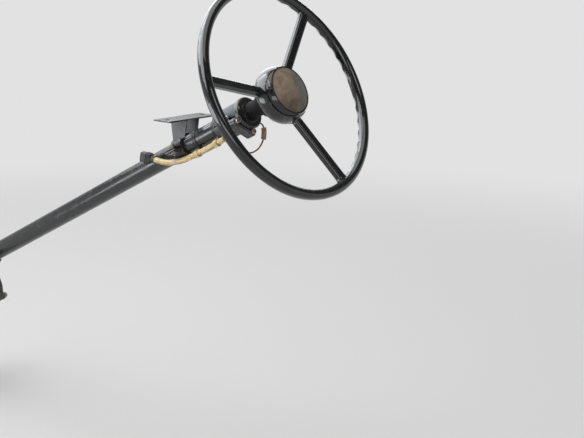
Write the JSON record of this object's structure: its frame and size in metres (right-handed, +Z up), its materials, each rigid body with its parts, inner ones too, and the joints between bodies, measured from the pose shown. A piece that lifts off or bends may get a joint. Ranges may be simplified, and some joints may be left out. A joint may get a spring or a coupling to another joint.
{
  "type": "steering wheel and column assembly with steering gear, of a light four-wheel-drive field car",
  "caption": "Three-spoke steering wheel with a domed horn button on a raked column, with its direction switch, wiring sheath, dash clamp, cast steering gear and drop arm.",
  "frame": {"origin": "centre of the three frame bolts, on the gear housing's face that meets the left side of the vehicle's frame, on the axis of the drop arm's shaft", "axes": "+X to the front of the vehicle, +Y to its left and out of the frame face, +Z up, with the column raked 27.15 degrees above the level"},
  "size_m": [1.2055, 0.425, 0.9502],
  "materials": {
    "wheel_black": "glossy black moulding, scuffed, with dust in its corners",
    "button_grey": "matt grey-brown, rubbed and mottled",
    "hub_black": "rough black",
    "bare_steel": "dull steel, greasy",
    "column_black": "satin black, dusty",
    "switch_black": "black, dusty, worn at its edge",
    "sleeve_grey": "grainy blue-grey",
    "screw_rust": "dull, rusty in the slot",
    "rubber_black": "matt rubber",
    "bush_bronze": "oiled bronze",
    "bracket_black": "satin black, chipped",
    "sheath_yellow": "aged cream-yellow sleeving, stained brown",
    "plug_black": "black plug",
    "lead_brown": "brown insulation",
    "sleeve_pink": "faded red-brown sleeve",
    "cast_paint": "sand-cast, painted, oily dust",
    "zinc_bolt": "zinc plate, dulled",
    "shim_steel": "thin steel shims",
    "arm_forged": "forged steel under black paint, rusty edges"
  },
  "bodies": {
    "column": {"column_jacket": "column_black", "upper_bush": "bush_bronze", "switch_drum": "switch_black", "switch_screws": "screw_rust", "switch_sleeve": "sleeve_grey", "dash_bush": "rubber_black", "dash_clamp_bolts": "zinc_bolt", "dash_bracket": "bracket_black", "dash_strap": "bracket_black", "loom_sheath": "sheath_yellow", "loom_clips": "bracket_black", "loom_plug": "plug_black", "lead_sleeve": "sleeve_pink", "switch_lead_long": "lead_brown", "switch_lead_short": "lead_brown", "gear_housing": "cast_paint", "side_cover": "cast_paint", "adjuster_cap": "zinc_bolt", "end_shims": "shim_steel", "end_cover": "cast_paint", "horn_wire_gland": "zinc_bolt", "filler_plug": "zinc_bolt", "neck_clamp": "bracket_black", "output_seal": "rubber_black"},
    "wheel": {"rim": "wheel_black", "spoke_upper_right": "wheel_black", "spoke_lower": "wheel_black", "spoke_left": "wheel_black", "hub_bell": "wheel_black", "horn_button": "button_grey", "hub_boss": "hub_black", "steering_shaft": "bare_steel"},
    "arm": {"output_shaft": "bare_steel", "drop_arm": "arm_forged", "arm_nut": "zinc_bolt", "ball_stud": "bare_steel"}
  },
  "joints": [
    {"name": "steering", "type": "hinge", "parent": "column", "child": "wheel", "pos_m": [-0.99591, -0.052, 0.57816], "axis": [-0.8898, 0, 0.4563], "range_deg": [-700, 700]},
    {"name": "drop_arm_swing", "type": "hinge", "parent": "column", "child": "arm", "pos_m": [0, 0, 0], "axis": [0, 1, 0], "range_deg": [-35, 35]}
  ],
  "couplings": [
    {"joint": "drop_arm_swing", "follows": "steering", "ratio": -0.049261}
  ]
}
